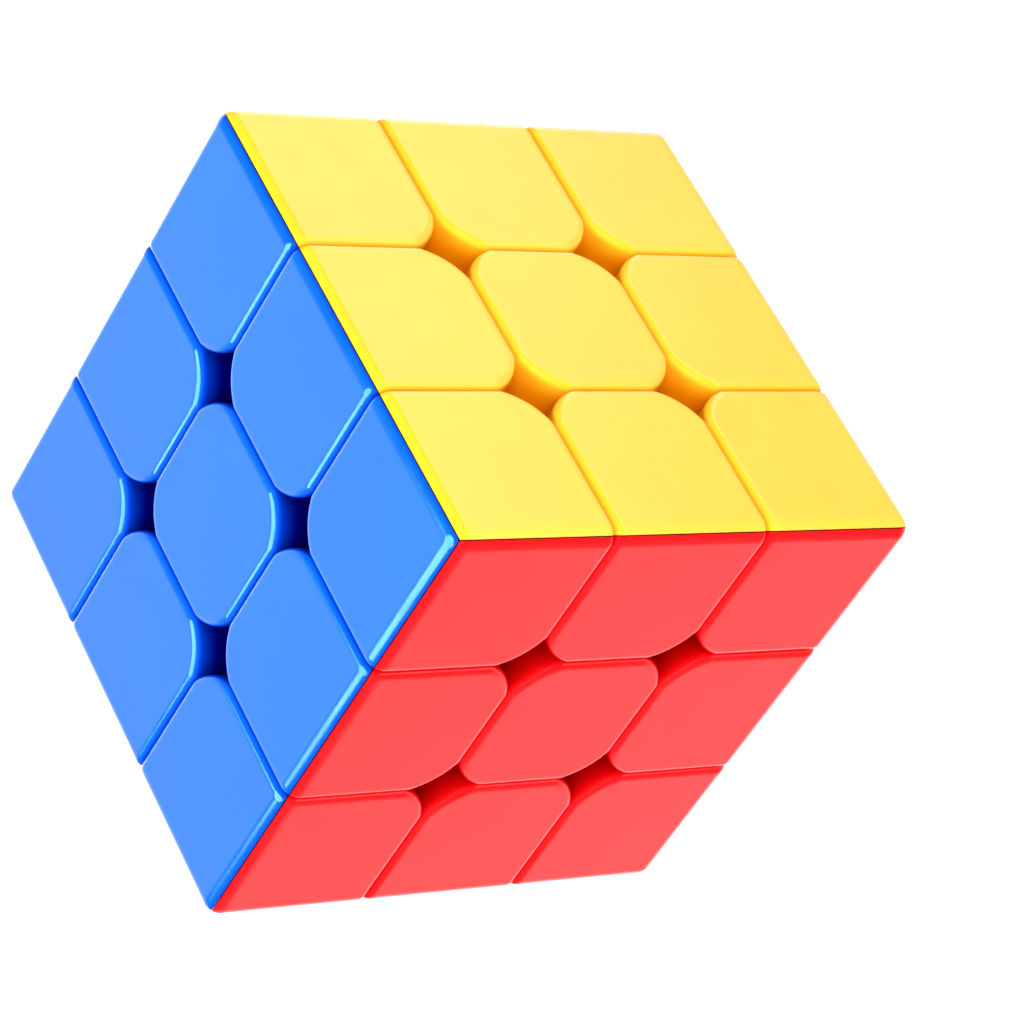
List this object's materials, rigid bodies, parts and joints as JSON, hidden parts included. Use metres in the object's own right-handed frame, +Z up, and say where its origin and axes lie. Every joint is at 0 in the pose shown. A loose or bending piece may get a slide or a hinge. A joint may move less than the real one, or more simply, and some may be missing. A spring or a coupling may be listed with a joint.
{
  "type": "twisty puzzle cube",
  "caption": "Stickerless twisty puzzle cube: coloured edge and corner shells hook under screw-tensioned, sprung centres on a central core and turn in layers.",
  "frame": {"origin": "middle of the bottom face, on the surface that the cube stands on", "axes": "+Z up through the yellow face, -Y out of the blue face, +X out of the red face; green is at +Y, orange at -X and white below"},
  "size_m": [0.056, 0.056, 0.056],
  "materials": {
    "yellow_plastic": "moulded, satin to glossy",
    "white_plastic": "moulded, satin to glossy",
    "blue_plastic": "moulded, satin to glossy",
    "green_plastic": "moulded, satin to glossy",
    "red_plastic": "moulded, satin to glossy",
    "orange_plastic": "moulded, satin to glossy",
    "core_plastic": "moulded, matt",
    "screw_steel": "zinc plated",
    "spring_steel": "bright drawn wire"
  },
  "bodies": {
    "core": {"core": "core_plastic", "tension_screw_top": "screw_steel", "spring_top": "spring_steel", "tension_screw_bottom": "screw_steel", "spring_bottom": "spring_steel", "tension_screw_front": "screw_steel", "spring_front": "spring_steel", "tension_screw_back": "screw_steel", "spring_back": "spring_steel", "tension_screw_right": "screw_steel", "spring_right": "spring_steel", "tension_screw_left": "screw_steel", "spring_left": "spring_steel", "edge_front_right_blue": "blue_plastic", "edge_front_right_red": "red_plastic", "edge_right_back_red": "red_plastic", "edge_right_back_green": "green_plastic", "edge_back_left_green": "green_plastic", "edge_back_left_orange": "orange_plastic", "edge_left_front_orange": "orange_plastic", "edge_left_front_blue": "blue_plastic"},
    "top_layer": {"edge_top_front_yellow": "yellow_plastic", "edge_top_front_blue": "blue_plastic", "corner_top_front_right": "yellow_plastic", "edge_top_right_yellow": "yellow_plastic", "edge_top_right_red": "red_plastic", "corner_top_right_back": "yellow_plastic", "edge_top_back_yellow": "yellow_plastic", "edge_top_back_green": "green_plastic", "corner_top_back_left": "yellow_plastic", "edge_top_left_yellow": "yellow_plastic", "edge_top_left_orange": "orange_plastic", "corner_top_left_front": "yellow_plastic"},
    "bottom_layer": {"edge_bottom_front_white": "white_plastic", "edge_bottom_front_blue": "blue_plastic", "corner_bottom_front_right": "white_plastic", "edge_bottom_right_white": "white_plastic", "edge_bottom_right_red": "red_plastic", "corner_bottom_right_back": "white_plastic", "edge_bottom_back_white": "white_plastic", "edge_bottom_back_green": "green_plastic", "corner_bottom_back_left": "white_plastic", "edge_bottom_left_white": "white_plastic", "edge_bottom_left_orange": "orange_plastic", "corner_bottom_left_front": "white_plastic"},
    "top_centre": {"centre_cap_top": "yellow_plastic", "centre_hub_top": "yellow_plastic"},
    "bottom_centre": {"centre_cap_bottom": "white_plastic", "centre_hub_bottom": "white_plastic"},
    "front_centre": {"centre_cap_front": "blue_plastic", "centre_hub_front": "blue_plastic"},
    "back_centre": {"centre_cap_back": "green_plastic", "centre_hub_back": "green_plastic"},
    "right_centre": {"centre_cap_right": "red_plastic", "centre_hub_right": "red_plastic"},
    "left_centre": {"centre_cap_left": "orange_plastic", "centre_hub_left": "orange_plastic"}
  },
  "joints": [
    {"name": "top_layer_turn", "type": "hinge", "parent": "core", "child": "top_layer", "pos_m": [0, 0, 0.028], "axis": [0, 0, 1], "continuous": true},
    {"name": "bottom_layer_turn", "type": "hinge", "parent": "core", "child": "bottom_layer", "pos_m": [0, 0, 0.028], "axis": [0, 0, -1], "continuous": true},
    {"name": "top_centre_lift", "type": "slide", "parent": "top_layer", "child": "top_centre", "axis": [0, 0, 1], "range_m": [0, 0.0005], "stiffness_N_per_m": 1200, "springref_m": -0.0025, "deforming": ["spring_top"]},
    {"name": "bottom_centre_lift", "type": "slide", "parent": "bottom_layer", "child": "bottom_centre", "axis": [0, 0, -1], "range_m": [0, 0.0005], "stiffness_N_per_m": 1200, "springref_m": -0.0025, "deforming": ["spring_bottom"]},
    {"name": "front_centre_lift", "type": "slide", "parent": "core", "child": "front_centre", "axis": [0, -1, 0], "range_m": [0, 0.0005], "stiffness_N_per_m": 1200, "springref_m": -0.0025, "deforming": ["spring_front"]},
    {"name": "back_centre_lift", "type": "slide", "parent": "core", "child": "back_centre", "axis": [0, 1, 0], "range_m": [0, 0.0005], "stiffness_N_per_m": 1200, "springref_m": -0.0025, "deforming": ["spring_back"]},
    {"name": "right_centre_lift", "type": "slide", "parent": "core", "child": "right_centre", "axis": [1, 0, 0], "range_m": [0, 0.0005], "stiffness_N_per_m": 1200, "springref_m": -0.0025, "deforming": ["spring_right"]},
    {"name": "left_centre_lift", "type": "slide", "parent": "core", "child": "left_centre", "axis": [-1, 0, 0], "range_m": [0, 0.0005], "stiffness_N_per_m": 1200, "springref_m": -0.0025, "deforming": ["spring_left"]}
  ]
}
